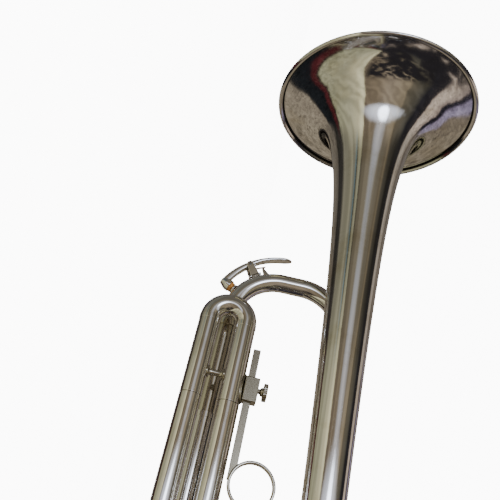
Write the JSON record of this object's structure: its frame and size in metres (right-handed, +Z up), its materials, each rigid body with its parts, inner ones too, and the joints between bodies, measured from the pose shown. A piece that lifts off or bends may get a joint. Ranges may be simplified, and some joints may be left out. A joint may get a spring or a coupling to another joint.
{
  "type": "trumpet",
  "caption": "Piston-valve brass trumpet with flared bell, working valves, movable tuning slides, water key and adjustable finger ring.",
  "frame": {"origin": "centre of the mouthpiece receiver's mouth, on the leadpipe axis", "axes": "+X along the leadpipe towards the bell, +Y to the player's left, +Z up towards the finger buttons"},
  "size_m": [0.4901, 0.1409, 0.164],
  "materials": {
    "silver_plate": "silver plate over brass, polished, with fine wipe scratches",
    "nickel_silver": "nickel silver, buffed, slightly dull",
    "piston_monel": "honed monel",
    "spring_steel": "drawn steel wire",
    "spring_bronze": "rolled phosphor bronze",
    "guide_nylon": "moulded nylon",
    "button_pearl": "imitation pearl, polished",
    "button_felt": "pressed wool felt",
    "cork": "natural cork"
  },
  "bodies": {
    "horn": {"bell_flare": "silver_plate", "bell_stem": "silver_plate", "bell_rim_wire": "silver_plate", "bell_bow": "silver_plate", "bell_branch": "silver_plate", "tube_ferrules": "nickel_silver", "mouthpiece_receiver": "silver_plate", "leadpipe": "silver_plate", "tuning_sleeve_upper": "silver_plate", "tuning_sleeve_lower": "silver_plate", "brace_front": "silver_plate", "brace_rear": "silver_plate", "pinky_hook": "silver_plate", "valve_casing_1": "silver_plate", "valve_casing_2": "silver_plate", "valve_casing_3": "silver_plate", "valve_knuckles": "silver_plate", "top_caps": "silver_plate", "bottom_caps": "silver_plate", "valve_guides": "guide_nylon", "valve_spring_1": "spring_steel", "valve_spring_2": "spring_steel", "valve_spring_3": "spring_steel", "first_slide_sleeves": "silver_plate", "second_slide_sleeves": "silver_plate", "third_slide_sleeves": "silver_plate"},
    "valve_1": {"piston_1": "piston_monel", "valve_stem_1": "nickel_silver", "finger_button_1": "silver_plate", "button_pearl_1": "button_pearl", "button_felt_1": "button_felt"},
    "valve_2": {"piston_2": "piston_monel", "valve_stem_2": "nickel_silver", "finger_button_2": "silver_plate", "button_pearl_2": "button_pearl", "button_felt_2": "button_felt"},
    "valve_3": {"piston_3": "piston_monel", "valve_stem_3": "nickel_silver", "finger_button_3": "silver_plate", "button_pearl_3": "button_pearl", "button_felt_3": "button_felt"},
    "first_slide": {"first_slide_tubes": "silver_plate", "thumb_saddle": "silver_plate"},
    "second_slide": {"second_slide_tubes": "silver_plate", "second_slide_knob": "silver_plate"},
    "third_slide": {"third_slide_legs": "nickel_silver", "third_slide_tubes": "silver_plate", "third_slide_crook": "silver_plate", "third_slide_brace": "nickel_silver", "ring_clamp": "nickel_silver"},
    "ring_slide": {"ring_rail": "nickel_silver", "finger_ring": "nickel_silver"},
    "rail_screw": {"thumbscrew": "nickel_silver"},
    "tuning_slide": {"tuning_legs": "nickel_silver", "tuning_bow": "silver_plate", "water_key_saddle": "silver_plate", "water_key_screw": "spring_steel", "water_key_spring": "spring_bronze"},
    "water_key": {"water_key_lever": "silver_plate", "water_key_cork": "cork"}
  },
  "joints": [
    {"name": "valve_1", "type": "slide", "parent": "horn", "child": "valve_1", "axis": [0, 0, -1], "range_m": [0, 0.016], "stiffness_N_per_m": 120, "springref_m": -0.012, "deforming": ["valve_spring_1"]},
    {"name": "valve_2", "type": "slide", "parent": "horn", "child": "valve_2", "axis": [0, 0, -1], "range_m": [0, 0.016], "stiffness_N_per_m": 120, "springref_m": -0.012, "deforming": ["valve_spring_2"]},
    {"name": "valve_3", "type": "slide", "parent": "horn", "child": "valve_3", "axis": [0, 0, -1], "range_m": [0, 0.016], "stiffness_N_per_m": 120, "springref_m": -0.012, "deforming": ["valve_spring_3"]},
    {"name": "first_slide", "type": "slide", "parent": "horn", "child": "first_slide", "axis": [-1, 0, 0], "range_m": [0, 0.022]},
    {"name": "second_slide", "type": "slide", "parent": "horn", "child": "second_slide", "axis": [0, -1, 0], "range_m": [0, 0.009]},
    {"name": "third_slide", "type": "slide", "parent": "horn", "child": "third_slide", "axis": [1, 0, 0], "range_m": [0, 0.038]},
    {"name": "ring_slide", "type": "slide", "parent": "third_slide", "child": "ring_slide", "axis": [1, 0, 0], "range_m": [-0.006, 0.012]},
    {"name": "rail_screw", "type": "hinge", "parent": "third_slide", "child": "rail_screw", "pos_m": [0.287, 0.0181, -0.04], "axis": [0, 0, 1], "range_deg": [0, 360]},
    {"name": "tuning_slide", "type": "slide", "parent": "horn", "child": "tuning_slide", "axis": [1, 0, 0], "range_m": [-0.02, 0.028]},
    {"name": "water_key", "type": "hinge", "parent": "tuning_slide", "child": "water_key", "pos_m": [0.37213, 0, -0.0636], "axis": [0, -1, 0], "range_deg": [0, 12], "stiffness_Nm_per_rad": 0.03, "springref_deg": -22.92}
  ]
}
